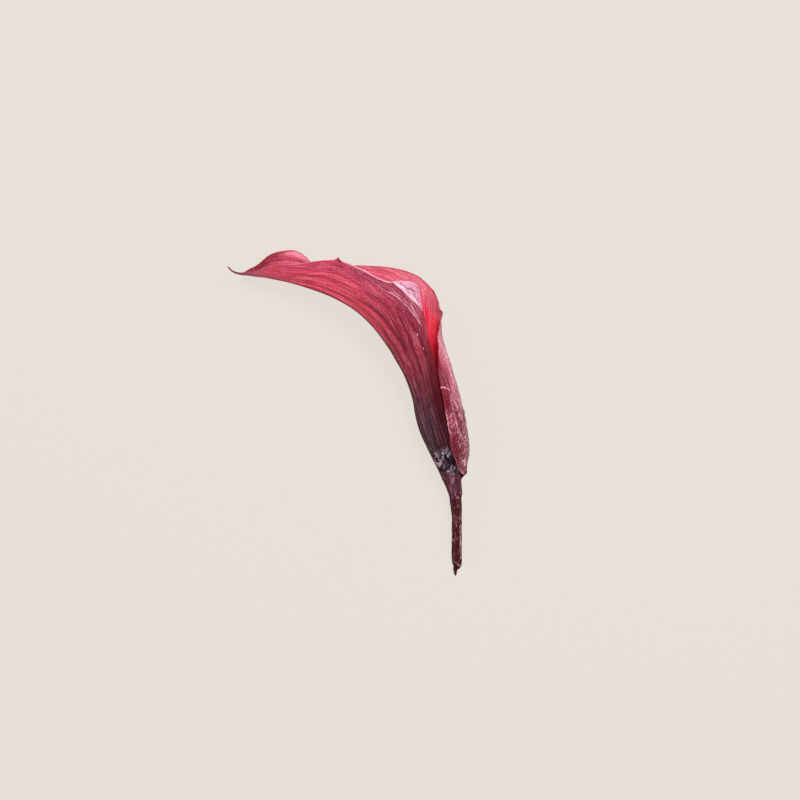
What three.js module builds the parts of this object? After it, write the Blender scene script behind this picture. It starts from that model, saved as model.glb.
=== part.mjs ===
// A dried calla lily flower, picked with a short stub of stem and lying on its side.
// Millimetres, +Z up. The surface it lies on is z = 0, +Y runs from the stem's end towards the mouth,
// and -X is where the long tip points. The side of the flower that faces +Z is called near, the other far.
import * as THREE from "three";

// Driving dimensions
const wall = 0.6; // thickness of the dried spathe
const wrapClearance = 1.4; // distance between two turns of the rolled spathe, middle to middle
const ribHeight = 0.2; // lengthwise folds, from the wall's middle line to a crest
const limbRib = 18; // degrees round the section from one rib to the next on the open limb
const tubeRib = 36; // and on the closed tube
const acrossSteps = 44; // facets from one margin to the other
const floretRows = 9; // rows of florets round the spadix
const floretHeight = 0.34;
const stemFurrow = 0.12; // depth of the furrows that drying leaves in the stem, as a share of its radius
const stemFurrows = 5;
const fullTurn = 2 * Math.PI;
const degrees = Math.PI / 180;

// Sections through the spathe, from the collar on the stem to the tip, each with
//   the point on the back where it stands, x and y
//   how many degrees it leans from +X, and the height of the back
//   reach: how far its near and its far side curve forward from the back, towards the mouth
//   depth: how far the near side curves up and the far side down
//   wrap: the angle that each side covers
//   droop: how far each margin hangs below that curve
const sections = [
  [[35.5, -27.8], 4, 6.3, [2.1, 2.1], [2.1, 2.1], [168, 170], [0, 0]], // collar
  [[33.0, -22.6], 8, 7.5, [3.5, 3.5], [3.6, 3.6], [168, 172], [0, 0]],
  [[32.3, -21.1], 9, 7.7, [4.1, 4.2], [4.1, 4.2], [170, 220], [0, 0]], // foot of the outer margin's lobe
  [[31.5, -19.4], 10, 8.0, [4.8, 4.9], [4.7, 4.8], [174, 246], [0, 0]],
  [[29.8, -15.9], 12, 8.6, [6.0, 6.2], [6.0, 6.2], [188, 262], [0, 0]],
  [[27.7, -11.4], 13, 9.2, [6.9, 6.9], [6.9, 7.1], [192, 268], [0, 0]], // fullest part of the tube
  [[25.5, -6.3], 14, 9.9, [7.6, 7.6], [7.4, 7.7], [185, 265], [0, 0]],
  [[23.8, -0.3], 15, 10.7, [7.8, 7.8], [7.7, 8.0], [165, 260], [0, 0]],
  [[22.9, 4.9], 17, 11.4, [7.9, 7.8], [7.8, 8.2], [130, 256], [0, 0]],
  [[21.3, 10.0], 21, 12.1, [8.1, 7.8], [8.0, 8.5], [110, 250], [0, 0]], // the mouth opens
  [[19.3, 14.7], 26, 12.7, [9.4, 8.4], [8.4, 9.0], [105, 236], [0, 0]],
  [[16.9, 18.9], 32, 13.1, [11.0, 9.2], [9.2, 10.0], [102, 208], [0, 0.2]],
  [[15.0, 22.2], 35, 13.3, [12.9, 10.9], [10.2, 11.0], [102, 172], [0.5, 0.6]],
  [[12.6, 25.6], 38, 13.5, [14.6, 13.0], [11.0, 12.2], [103, 146], [1.3, 1.8]],
  [[10.4, 28.6], 41.5, 13.6, [15.7, 15.3], [11.6, 13.3], [105, 128], [2.0, 2.4]], // widest part
  [[8.3, 31.1], 45, 13.6, [16.2, 16.4], [12.0, 13.7], [107, 119], [2.4, 2.0]], // near margin's corner
  [[6.1, 33.4], 49, 13.6, [15.4, 16.5], [11.7, 13.5], [100, 112], [0.8, 1.2]],
  [[3.6, 35.7], 53, 13.5, [14.7, 15.8], [11.0, 12.9], [89, 106], [0, 0.4]],
  [[-1.9, 39.2], 61, 13.1, [14.0, 13.6], [9.8, 11.6], [86, 97], [0, 0]], // the long limb
  [[-8.8, 42.1], 69, 12.5, [13.0, 11.7], [8.6, 10.6], [87, 86], [0, 0]],
  [[-14.7, 44.2], 74, 11.8, [9.8, 9.5], [7.6, 10.3], [87, 84], [0, 0]],
  [[-17.6, 45.2], 76, 11.4, [8.4, 8.8], [7.0, 10.6], [85, 101], [0, 0]],
  [[-20.6, 46.1], 78, 11.0, [7.0, 8.3], [6.4, 10.8], [84, 113], [0, 0.4]], // wing of the far margin
  [[-25.0, 47.2], 80, 10.4, [5.8, 7.1], [5.2, 10.2], [83, 119], [0, 0.4]],
  [[-29.4, 48.0], 83, 9.8, [3.5, 5.1], [3.4, 7.0], [82, 121], [0, 0]],
  [[-32.8, 48.3], 84, 9.4, [2.0, 2.8], [2.2, 3.8], [80, 116], [0, 0]],
  [[-35.2, 48.6], 84, 9.2, [1.3, 1.8], [1.5, 2.2], [78, 108], [0, 0]], // the rolled tip
  [[-37.7, 48.8], 80, 9.2, [0.8, 0.8], [0.8, 0.8], [90, 90], [0, 0]],
  [[-40.0, 49.4], 65, 9.4, [0.6, 0.6], [0.6, 0.6], [90, 90], [0, 0]],
  [[-41.5, 50.4], 50, 9.8, [0.5, 0.5], [0.5, 0.5], [90, 90], [0, 0]],
  [[-42.4, 51.5], 42, 10.2, [0.4, 0.4], [0.4, 0.4], [90, 90], [0, 0]],
];
const stepsBetween = 2; // rings of facets from one section to the next
const wrapParted = 7; // millimetres along the back where the overlapping turns stand fully apart
const wrapCloses = 46; // and where they come together again, past the overlap
const wrapEnds = 60;
const ribsRise = [6, 22]; // millimetres along the back over which the ribs grow out of the collar
const ribsFade = [84, 108]; // and die away towards the tip
const tubeWraps = [125, 175]; // wraps between which the limb's ribs turn into the tube's
const tightestRoll = 0.12; // inner radius of the rolled tip

// Centre line of the stem: x, y, z, radius. Its neck stands in the collar, and its end is torn.
// The rings between two rows are spaced evenly.
const stemLine = [
  [36.7, -21.9, 7.6, 1.25],
  [37.1, -24.5, 7.0, 1.4],
  [37.6, -27.7, 6.35, 1.45],
  [37.6, -28.1, 6.2, 1.45],
  [37.6, -28.3, 6.15, 2.05], // shoulder under the collar
  [37.7, -30.1, 5.75, 2.0],
  [37.9, -32.9, 5.2, 1.85],
  [38.0, -36.1, 4.5, 1.7],
  [38.0, -40.6, 3.6, 1.68],
  [38.05, -45.9, 2.7, 1.66],
  [38.0, -50.4, 1.8, 1.7],
  [38.0, -51.5, 1.55, 1.68],
  [38.1, -52.7, 1.4, 1.5],
  [37.45, -53.3, 1.3, 0.85], // the shred left where the stem broke
  [37.3, -55.0, 1.1, 0.58],
  [37.5, -57.3, 0.95, 0.16],
];
const stemSides = 20;
const stemRingsBetween = 3;
const furrowsRise = [4, 6]; // rows over which the furrows deepen below the shoulder
const furrowsFade = [12, 14]; // and run out at the torn end

// Centre line of the spadix, from its seat on the stem to its blunt top, and its radius on the way.
const spadixLine = [
  [36.55, -21.55, 7.7],
  [36.0, -15.4, 8.5],
  [34.7, -9.5, 9.3],
  [33.2, -3.9, 10.1],
  [32.1, 1.1, 10.7],
  [31.2, 5.2, 11.2],
];
const spadixShares = [0, 0.06, 0.3, 0.6, 0.8, 0.92, 0.975, 1]; // of its length
const spadixRadii = [[1.5], [1.95], [2.2], [2.2], [2.05], [1.7], [1.1], [0.3]];
const floretTurns = 7; // rows of florets from seat to top, counted along one spiral
const spadixSteps = 58;
const spadixSides = 36;

// Smooth curve through rows of numbers at uneven places, with each slope taken from the row's neighbours.
function slopeAt(places, rows, k, column) {
  const rise = (from, to) => (rows[to][column] - rows[from][column]) / (places[to] - places[from]);
  if (k === 0) return rise(0, 1);
  if (k === places.length - 1) return rise(k - 1, k);
  const share = (places[k] - places[k - 1]) / (places[k + 1] - places[k - 1]);
  return THREE.MathUtils.lerp(rise(k - 1, k), rise(k, k + 1), share);
}

function smoothRow(places, rows, at) {
  let i = 0;
  while (i < places.length - 2 && at > places[i + 1]) i += 1;
  const span = places[i + 1] - places[i];
  const t = (at - places[i]) / span;
  return rows[i].map((value, column) => {
    const level = THREE.MathUtils.lerp(value, rows[i + 1][column], 3 * t ** 2 - 2 * t ** 3);
    const leaving = (t ** 3 - 2 * t ** 2 + t) * span * slopeAt(places, rows, i, column);
    const arriving = (t ** 3 - t ** 2) * span * slopeAt(places, rows, i + 1, column);
    return level + leaving + arriving;
  });
}

// A closed surface: rings of equal length joined one to the next, and the two end rings capped.
// A ladder cap joins the first half of a ring to its second half, as across the edge of a sheet.
function loft(rings, cap) {
  const size = rings[0].length;
  const position = rings.flat(2);
  const index = [];
  rings.slice(1).forEach((_, i) => {
    for (let j = 0; j < size; j += 1) {
      const [a, b] = [i * size + j, i * size + ((j + 1) % size)];
      const [c, d] = [a + size, b + size];
      const otherWay = cap === "ladder" && j >= size / 2; // the same split on both faces of a sheet
      index.push(...(otherWay ? [a, c, b, b, c, d] : [a, c, d, a, d, b]));
    }
  });
  [0, rings.length - 1].forEach((end) => {
    const first = end * size;
    const turn = (triangle) => (end ? triangle.reverse() : triangle);
    if (cap === "ladder") {
      for (let j = 0; j < size / 2 - 1; j += 1) {
        const [a, b] = [first + j, first + j + 1];
        const [d, c] = [first + size - 1 - j, first + size - 2 - j];
        index.push(...turn([a, b, c]), ...turn([a, c, d]));
      }
      return;
    }
    const middle = [0, 1, 2].map((axis) => rings[end].reduce((sum, p) => sum + p[axis], 0) / size);
    position.push(...middle);
    for (let j = 0; j < size; j += 1) {
      index.push(...turn([first + j, first + ((j + 1) % size), position.length / 3 - 1]));
    }
  });
  const geometry = new THREE.BufferGeometry();
  geometry.setAttribute("position", new THREE.Float32BufferAttribute(position, 3));
  geometry.setIndex(signedVolume(position, index) < 0 ? index.reverse() : index);
  geometry.computeVertexNormals();
  return geometry;
}

function signedVolume(position, index) {
  const corner = (i) => new THREE.Vector3().fromArray(position, 3 * index[i]);
  let volume = 0;
  for (let i = 0; i < index.length; i += 3) {
    volume += corner(i).dot(corner(i + 1).cross(corner(i + 2))) / 6;
  }
  return volume;
}

// The spathe: one rolled leaf. Its outer margin, on the far side, laps over the near one down the tube.
const backPlaces = sections.reduce((places, [[x, y]], i) => {
  const [px, py] = sections[Math.max(i - 1, 0)][0];
  return [...places, (places.at(-1) ?? 0) + Math.hypot(x - px, y - py)];
}, []);
const sectionRows = sections.map((section) => section.flat());

function ribs(along, across, angle, wrap) {
  const rising = THREE.MathUtils.smoothstep(along, ...ribsRise);
  const fading = 1 - THREE.MathUtils.smoothstep(along, ...ribsFade);
  const insideMargin = 1 - across ** 8;
  const wander = 0.2 * Math.sin(along / 9);
  const wave = (spacing) => Math.cos(fullTurn * (angle / spacing + wander));
  const tube = THREE.MathUtils.smoothstep(wrap, ...tubeWraps);
  const height = ribHeight * rising * fading * insideMargin;
  return height * THREE.MathUtils.lerp(wave(limbRib), wave(tubeRib), tube);
}

function spathePoint(along, across, outside) {
  const row = smoothRow(backPlaces, sectionRows, along);
  const [x, y, lean, height] = row;
  const [reach, depth, wrap, droop] = [4, 6, 8, 10].map((column) => row[column + (across > 0 ? 0 : 1)]);
  const angle = across * wrap;
  const parted =
    THREE.MathUtils.clamp(along / wrapParted, 0, 1) *
    THREE.MathUtils.clamp((wrapEnds - along) / (wrapEnds - wrapCloses), 0, 1);
  const outward =
    (outside ? wall / 2 : -wall / 2) +
    ribs(along, across, angle, wrap) -
    (wrapClearance * parted * angle) / 360;
  const faceReach = Math.max(reach + outward, tightestRoll);
  const faceDepth = Math.max(depth + outward, tightestRoll);
  // the near margin bends down past its crest, the far one flares over its whole width
  const bent = across > 0 ? Math.max(angle - 90, 0) / Math.max(wrap - 90, 1) : across ** 4;
  const forward = reach - faceReach * Math.cos(angle * degrees);
  const z = height + faceDepth * Math.sin(angle * degrees) - droop * bent;
  return [
    x + forward * Math.cos(lean * degrees),
    y + forward * Math.sin(lean * degrees),
    Math.max(z, outside ? 0 : wall), // pressed flat where it lies
  ];
}

function spatheGeometry() {
  const stops = backPlaces.slice(1).flatMap((place, i) => {
    const stop = (_, k) => THREE.MathUtils.lerp(backPlaces[i], place, k / stepsBetween);
    return Array.from({ length: stepsBetween }, stop);
  });
  const across = Array.from({ length: acrossSteps + 1 }, (_, k) => (2 * k) / acrossSteps - 1);
  const rings = [...stops, backPlaces.at(-1)].map((along) => [
    ...across.map((v) => spathePoint(along, v, true)),
    ...across.toReversed().map((v) => spathePoint(along, v, false)),
  ]);
  return loft(rings, "ladder");
}

// Rings square to a centre line, each point at its own radius.
function ringsAlong(curve, steps, sides, radiusAt) {
  return Array.from({ length: steps + 1 }, (_, i) => {
    const t = i / steps;
    const centre = curve.getPoint(t);
    const along = curve.getTangent(t);
    const sideways = new THREE.Vector3(0, 0, 1).cross(along).normalize();
    const upward = new THREE.Vector3().crossVectors(along, sideways);
    return Array.from({ length: sides }, (__, j) => {
      const angle = (fullTurn * j) / sides;
      const radius = radiusAt(t, angle);
      const point = centre
        .clone()
        .addScaledVector(sideways, radius * Math.cos(angle))
        .addScaledVector(upward, radius * Math.sin(angle));
      return [point.x, point.y, Math.max(point.z, 0)];
    });
  });
}

// The stem: furrowed by drying, with a plain neck inside the collar.
function stemGeometry() {
  const last = stemLine.length - 1;
  const curve = new THREE.CatmullRomCurve3(stemLine.map(([x, y, z]) => new THREE.Vector3(x, y, z)));
  const radiusAt = (t, angle) => {
    const at = t * last;
    const i = Math.min(Math.floor(at), last - 1);
    const radius = THREE.MathUtils.lerp(stemLine[i][3], stemLine[i + 1][3], at - i);
    const furrowed =
      THREE.MathUtils.smoothstep(at, ...furrowsRise) * (1 - THREE.MathUtils.smoothstep(at, ...furrowsFade));
    const furrow = 0.5 - 0.5 * Math.cos(stemFurrows * angle + at / 3);
    return radius * (1 - stemFurrow * furrowed * furrow);
  };
  return loft(ringsAlong(curve, last * stemRingsBetween, stemSides, radiusAt), "fan");
}

// The spadix: a fleshy spike covered with florets in crossing spirals.
function spadixGeometry() {
  const curve = new THREE.CatmullRomCurve3(spadixLine.map((p) => new THREE.Vector3(...p)));
  const radiusAt = (t, angle) => {
    const [radius] = smoothRow(spadixShares, spadixRadii, t);
    const around = (floretRows / 2) * angle;
    const climb = fullTurn * floretTurns * t;
    const floret = Math.sqrt(Math.abs(Math.cos(around + climb) * Math.cos(around - climb)));
    const covered = THREE.MathUtils.smoothstep(t, 0.03, 0.08) * (1 - THREE.MathUtils.smoothstep(t, 0.94, 1));
    return radius + floretHeight * covered * floret;
  };
  return loft(ringsAlong(curve, spadixSteps, spadixSides, radiusAt), "fan");
}

function piece(name, geometry, color, roughness) {
  const mesh = new THREE.Mesh(geometry, new THREE.MeshStandardMaterial({ color, roughness, metalness: 0 }));
  mesh.name = name;
  return mesh;
}

const flower = new THREE.Group();
flower.add(
  piece("spathe", spatheGeometry(), 0xb04058, 0.5),
  piece("spadix", spadixGeometry(), 0x8a5a2c, 0.8),
  piece("stem", stemGeometry(), 0x4e242d, 0.6),
);

export default flower;
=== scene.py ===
"""A dried calla lily flower lying on its side on a pale surface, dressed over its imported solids."""

import math

import bmesh
import bpy
import numpy as np
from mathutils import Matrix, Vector, noise


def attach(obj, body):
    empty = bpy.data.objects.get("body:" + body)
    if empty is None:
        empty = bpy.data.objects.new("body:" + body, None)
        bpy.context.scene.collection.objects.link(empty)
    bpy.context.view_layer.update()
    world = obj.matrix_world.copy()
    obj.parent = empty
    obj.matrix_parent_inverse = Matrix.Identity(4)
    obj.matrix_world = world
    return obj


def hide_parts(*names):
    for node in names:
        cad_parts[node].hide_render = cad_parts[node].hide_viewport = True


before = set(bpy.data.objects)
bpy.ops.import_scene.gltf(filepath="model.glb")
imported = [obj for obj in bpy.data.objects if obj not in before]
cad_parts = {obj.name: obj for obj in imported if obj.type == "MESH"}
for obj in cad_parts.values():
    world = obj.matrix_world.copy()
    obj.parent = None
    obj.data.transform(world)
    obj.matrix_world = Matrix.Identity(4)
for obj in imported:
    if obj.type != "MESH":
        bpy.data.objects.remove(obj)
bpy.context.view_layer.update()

# Spathe
# The one leaf of the flower, rolled into a funnel. It grows from the collar on the stem, its far margin
# laps over the near one down the tube, and the limb runs out into a hooked tip. Dried, it is thin as paper,
# with lengthwise ribs. Sizes are in millimetres, and angles in degrees.
mm = 0.001
spathe_wall = 0.5
spathe_edge = 0.2

# Sections from the collar to the tip, in millimetres and degrees: x and y of the point on the back, the
# lean, the height, then the near and the far value of each of reach, depth, wrap and droop.
spathe_sections = np.array([
    [35.5, -27.8, 4, 6.3, 2.1, 2.1, 2.1, 2.1, 168, 170, 0, 0],
    [33.0, -22.6, 8, 7.5, 3.5, 3.5, 3.6, 3.6, 168, 172, 0, 0],
    [32.3, -21.1, 9, 7.7, 4.1, 4.2, 4.1, 4.2, 170, 220, 0, 0],
    [31.5, -19.4, 10, 8.0, 4.8, 4.9, 4.7, 4.8, 174, 246, 0, 0],
    [29.8, -15.9, 12, 8.6, 6.0, 6.2, 6.0, 6.2, 188, 262, 0, 0],
    [27.7, -11.4, 13, 9.2, 6.9, 6.9, 6.9, 7.1, 192, 268, 0, 0],
    [25.5, -6.3, 14, 9.9, 7.6, 7.6, 7.4, 7.7, 185, 265, 0, 0],
    [23.8, -0.3, 15, 10.7, 7.8, 7.8, 7.7, 8.0, 165, 260, 0, 0],
    [22.9, 4.9, 17, 11.4, 7.9, 7.8, 7.8, 8.2, 130, 256, 0, 0],
    [21.3, 10.0, 21, 12.1, 8.1, 7.8, 8.0, 8.5, 110, 250, 0, 0],
    [19.3, 14.7, 26, 12.7, 9.4, 8.4, 8.4, 9.0, 105, 236, 0, 0],
    [16.9, 18.9, 32, 13.1, 11.0, 9.2, 9.2, 10.0, 102, 208, 0, 0.2],
    [15.0, 22.2, 35, 13.3, 12.9, 10.9, 10.2, 11.0, 102, 172, 0.5, 0.6],
    [12.6, 25.6, 38, 13.5, 14.6, 13.0, 11.0, 12.2, 103, 146, 1.3, 1.8],
    [10.4, 28.6, 41.5, 13.6, 15.7, 15.3, 11.6, 13.3, 105, 128, 2.0, 2.4],
    [8.3, 31.1, 45, 13.6, 16.2, 16.4, 12.0, 13.7, 107, 119, 2.4, 2.0],
    [6.1, 33.4, 49, 13.6, 15.4, 16.5, 11.7, 13.5, 100, 112, 0.8, 1.2],
    [3.6, 35.7, 53, 13.5, 14.7, 15.8, 11.0, 12.9, 89, 106, 0, 0.4],
    [-1.8, 39.3, 61, 13.1, 13.9, 13.5, 9.8, 11.6, 86, 97, 0, 0],
    [-8.6, 42.6, 69, 12.5, 12.5, 11.2, 8.6, 10.6, 87, 86, 0, 0],
    [-14.6, 44.55, 74, 11.8, 9.45, 9.15, 7.6, 10.3, 87, 84, 0, 0],
    [-17.55, 45.4, 76, 11.4, 8.2, 8.6, 7.0, 10.6, 85, 101, 0, 0],
    [-20.55, 46.25, 78, 11.0, 6.85, 8.2, 6.4, 10.8, 84, 113, 0, 0.4],
    [-25.0, 47.2, 80, 10.4, 5.8, 7.1, 5.2, 10.2, 83, 119, 0, 0.4],
    [-29.4, 48.0, 83, 9.8, 3.5, 5.1, 3.4, 7.0, 82, 121, 0, 0],
    [-32.8, 48.3, 84, 9.4, 2.0, 2.8, 2.2, 3.8, 80, 116, 0, 0],
    [-35.2, 48.6, 84, 9.2, 1.3, 1.8, 1.5, 2.2, 78, 108, 0, 0],
    [-37.7, 48.8, 80, 9.2, 0.8, 0.8, 0.8, 0.8, 90, 90, 0, 0],
    [-40.0, 49.4, 65, 9.4, 0.6, 0.6, 0.6, 0.6, 90, 90, 0, 0],
    [-41.5, 50.4, 50, 9.8, 0.5, 0.5, 0.5, 0.5, 90, 90, 0, 0],
    [-42.4, 51.5, 42, 10.2, 0.4, 0.4, 0.4, 0.4, 90, 90, 0, 0],
])
steps_back = np.hypot(*np.diff(spathe_sections[:, :2], axis=0).T)
spathe_places = np.concatenate([[0], np.cumsum(steps_back)])
spathe_length = spathe_places[-1]


def smooth_rows(places, rows, at):
    """Each column of rows at the places in at, as a smooth curve through all rows."""
    rise = np.diff(rows, axis=0) / np.diff(places)[:, None]
    share = ((places[1:-1] - places[:-2]) / (places[2:] - places[:-2]))[:, None]
    slopes = np.concatenate([rise[:1], rise[:-1] * (1 - share) + rise[1:] * share, rise[-1:]])
    i = np.clip(np.searchsorted(places, at) - 1, 0, len(places) - 2)
    span = (places[i + 1] - places[i])[:, None]
    t = (at[:, None] - places[i][:, None]) / span
    level = (2 * t**3 - 3 * t**2 + 1) * rows[i] + (3 * t**2 - 2 * t**3) * rows[i + 1]
    return level + (t**3 - 2 * t**2 + t) * span * slopes[i] + (t**3 - t**2) * span * slopes[i + 1]


def ease(value, low, high):
    """0 below low, 1 above high, and a smooth rise between them."""
    t = np.clip((value - low) / (high - low), 0, 1)
    return t * t * (3 - 2 * t)


def hill(value, middle, width):
    """1 at the middle, and a smooth fall to 0 on both sides of it."""
    return np.exp(-(((value - middle) / width) ** 2))


def rough(*coordinates, seed=0.0, octaves=1):
    """Noise from about -1 to 1, its own for each seed, over arrays of one to three coordinates."""
    spare = [np.float64(seed)] * (3 - len(coordinates))
    points = np.stack(np.broadcast_arrays(*coordinates, *spare), axis=-1)
    shift = Vector((seed, 0, 0))
    heights = [noise.fractal(Vector(point) + shift, 1.0, 2.0, octaves) for point in points.reshape(-1, 3)]
    return np.array(heights).reshape(points.shape[:-1])


# Folds pressed in as the wall dried: height in millimetres, width in degrees, then the places along the
# back that each runs through and how far round it is at each of them.
spathe_folds = [
    (-0.36, 4.2, (48, 62, 72, 78, 85, 102), (53, 55, 56, 51, 53, 51)),
    (-0.32, 4.4, (48, 57, 63, 69, 76, 86), (46, 45, 42, 41, 33, 28)),
    (-0.45, 2.8, (38, 45, 49, 55, 60, 68), (94, 92, 88, 78, 72, 68)),
    (-0.35, 1.4, (57, 60, 62, 65, 72), (94, 91, 88.5, 86.5, 86)),
    (-0.35, 2.2, (40, 50, 58, 66), (66, 66, 64, 66)),
    (-0.30, 1.8, (44, 56, 66, 76), (28, 30, 30, 24)),
    (0.34, 1.6, (53, 56, 60, 63, 66, 74), (92, 89, 84, 80.5, 78, 74)),
    (0.30, 1.2, (55, 57, 60, 63, 66, 71), (92.5, 90.5, 87, 83.6, 81, 80)),
    (0.20, 0.8, (56, 58, 61, 64, 67), (85, 84, 81, 77, 75)),
    (0.20, 1.6, (40, 48, 54, 60, 66), (80, 82, 77, 71, 68)),
    (-0.45, 2.6, (12, 18, 20, 23, 27.5, 33), (-207, -216, -221, -227, -228, -229)),
    (-0.55, 2.2, (22, 27.4, 30, 32.4, 35, 42), (-203, -209, -215, -224, -229, -236)),
    (0.35, 2.0, (22, 27, 29.3, 31.4, 33, 40), (-212, -215, -219, -226, -231, -236)),
    (-0.35, 2.6, (9, 16, 24, 34), (-234, -242, -246, -247)),
    (0.35, 2.2, (14, 19, 22, 28, 36), (-222, -226, -234, -235, -237)),
    (0.30, 2.5, (14, 22, 30, 40), (-196, -204, -220, -229)),
    (-0.40, 3.5, (88, 98, 102, 106, 114), (-88, -91, -96, -100, -100)),
]


def spathe_pressed(along, turned):
    """Millimetres that the folds alone stand proud."""
    total = 0
    for height, width, places, turns in spathe_folds:
        shown = ease(along, places[0], places[0] + 5) * (1 - ease(along, places[-1] - 6, places[-1]))
        total = total + 0.55 * height * shown * hill(turned, np.interp(along, places, turns), width)
    return total


def spathe_ribs(along, across, turned, wrap):
    """The lengthwise ribs: wide on the tube, narrow on the limb, with soft folds and fine ribs on them."""
    grown = ease(along, 6, 22) * (1 - ease(along, 84, 108))
    wander = 0.2 * np.sin(along / 9)
    limb_ribs = np.cos(2 * math.pi * (turned / 18 + wander))
    tube_ribs = np.cos(2 * math.pi * (turned / 36 + wander))
    tube = ease(wrap, 125, 175)
    ribs = 0.2 * grown * (1 - across**8) * (limb_ribs * (1 - tube) + tube_ribs * tube)
    soft_folds = 0.2 * grown * rough(turned / 11 - along * 0.02, along * 0.03, seed=3)
    finely_ribbed = ease(along, 8, 14) * (1 - ease(along, 96, 114))
    return ribs + soft_folds + 0.2 * finely_ribbed * rough(turned / 3.2, along * 0.05, seed=8)


def flap_skin(along, across, turned):
    """Pebbles and ridges on the flap, the part of the far margin that laps over the near one."""
    flap = ease(-across, 0.6, 0.7) * (1 - ease(along, 46, 56)) * ease(along, 5, 9)
    pebbled = 1 - 0.8 * ease(along, 26, 40)
    pebbles = 0.4 * pebbled * (np.abs(rough(turned / 5.5, along * 0.7, seed=6)) - 0.55)
    ridges = 0.25 * (rough(turned / 5, along * 0.07, seed=5) - 0.3)
    return flap * (pebbles + ridges)


def foot_furrows(along, turned):
    """The cone above the collar: one ridge on top between two grooves, and shallow furrows."""
    ridge = 0.35 * hill(turned, 83 + 2 * np.sin(along), 9)
    grooves = 0.3 * hill(turned, 110, 10) + 0.2 * hill(turned, 60, 9)
    furrows = 0.3 * rough(turned / 9, along * 0.3, seed=9) + 0.15 * rough(turned / 4, along, seed=10)
    return (1 - ease(along, 6, 9)) * (ridge - grooves + furrows)


# Where the flap's foot curls: height, place along and length in millimetres, then degrees round and width.
lobe_curls = ((0.7, 9.6, 1.3, -226, 11), (0.7, 6.6, 0.9, -204, 13), (-0.45, 4.8, 0.8, -176, 26))


def spathe_relief(along, across, turned, wrap):
    """Millimetres that the dried wall stands proud of its smooth shape."""
    folds = rough(along * 0.36 + turned / 60, turned / 16, seed=14, octaves=3)
    crumple = flake_zone(along, across) * (0.55 - 2.2 * np.abs(folds))
    lifted = 0.22 * torn_skin(along, turned)
    ragged = 0.25 * hill(along, flake_end(turned), 0.5) * ease(across, 0.1, 0.2)
    curl = sum(
        height * hill(along, place, length) * hill(turned, turn, width)
        for height, place, length, turn, width in lobe_curls
    )
    skin = flap_skin(along, across, turned) + foot_furrows(along, turned) + crumple + lifted + ragged + curl
    return spathe_ribs(along, across, turned, wrap) + spathe_pressed(along, turned) + skin


def flake_end(turned):
    """How far along the papery skin breaks off above the foot."""
    return 7.6 + 1.1 * rough(turned / 14, seed=22)


def flake_zone(along, across):
    """Where papery skin has crumpled at the foot of the near wall."""
    edge = along + 2.2 * rough(across * 6, along * 0.1, seed=21)
    return ease(edge, 7, 8.5) * (1 - ease(edge, 14.5, 18)) * ease(across, 0.06, 0.16)


# Where the flap's outer skin ends: how far along, and how much nearer the foot for each degree past a turn.
torn_place, torn_slope, torn_bend = 36.5, 0.09, -250


def torn_line(turned):
    """How far along the flap its outer skin ends."""
    return torn_place - torn_slope * np.maximum(turned - torn_bend, 0) + 0.3 * rough(turned / 2.4, seed=31)


def torn_skin(along, turned):
    """The outer skin of the flap, which ends in a torn line across it."""
    line = torn_line(turned)
    return (1 - ease(along, line - 0.2, line + 0.2)) * ease(-turned, 236, 240) * ease(along, 16, 32)


def spathe_rows(along, across):
    """The sections' numbers at these places, with those of the near or the far side picked out."""
    rows = smooth_rows(spathe_places, spathe_sections, along)
    sides = [np.where(across > 0, rows[:, k], rows[:, k + 1]) for k in (4, 6, 8, 10)]
    return (*rows[:, :4].T, *sides)


# By places along the back: how many degrees each margin is trimmed, how many millimetres the far rim stands
# out in waves, and how many the far side is pressed in.
near_trim = (
    (50, 54, 58, 61, 63, 64.2, 65, 66.5, 68, 70, 71, 72, 74, 82),
    (0, 3, 4.4, 2.8, 0.6, 0, 1, 3.4, 3.8, 7, 5, 2.8, 1, 0),
)
far_trim = (
    (4.4, 5.4, 6.2, 7.6, 8.6, 9.6, 11.5, 13.3, 15.1, 17, 20.3, 22.4, 24.1, 25.9, 27.5, 29.3, 32.5, 34.5),
    (0, -26, -34, -17, -9, -4, 0, -2.4, 0, 2.9, 8.8, 7.6, 6.6, 7.3, 6, 5.2, 2.4, 0),
)
far_waves = (
    (48, 50, 52.6, 53.7, 54.6, 55.5, 56.2, 57.2, 57.9, 58.8, 60.4, 61.5, 62.5, 64, 78, 84),
    (0, -0.4, -0.7, -0.8, 0.5, -0.35, -0.8, -0.4, 0, -0.15, 0.1, -0.1, -0.25, -0.3, -0.25, 0),
)
far_dent = (
    (7, 9, 11, 13, 15, 17, 27, 31, 33, 36, 41, 43.5, 45.5, 48, 51, 54),
    (0, 0.3, 0.45, 0.45, 0.25, 0, 0, 0.2, 0.5, 0.65, 0.5, 0.8, 1.2, 0.9, 0.4, 0),
)
far_dent_turn, far_dent_width = -185, 35

# The lap: how much the wall winds outwards in a full turn, where along it is fully so, and where that fades.
# The spike is a torn point on the near rim. The last two: the least reach or depth, and the lowest height.
lap_clearance = 1.4
lap_full, lap_fades, lap_gone = 7, 46, 60
spike_place = spathe_places[19] - 0.4
spike_height, spike_reach = 1.1, 0.9
least_reach, lowest_height = 0.15, 0.3


def along_line(along, places, values, corner=0.4):
    """The values at these places, joined by a line whose corners are rounded over this many millimetres."""
    return sum(np.interp(along + step * corner, places, values) for step in (-1, -0.5, 0, 0.5, 1)) / 5


def spathe_angle(along, across, wrap):
    """Degrees round from the back at which the wall stands, out to its trimmed margins."""
    trim = np.where(across > 0, np.interp(along, *near_trim), np.interp(along, *far_trim))
    return across * (wrap - trim)


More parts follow.
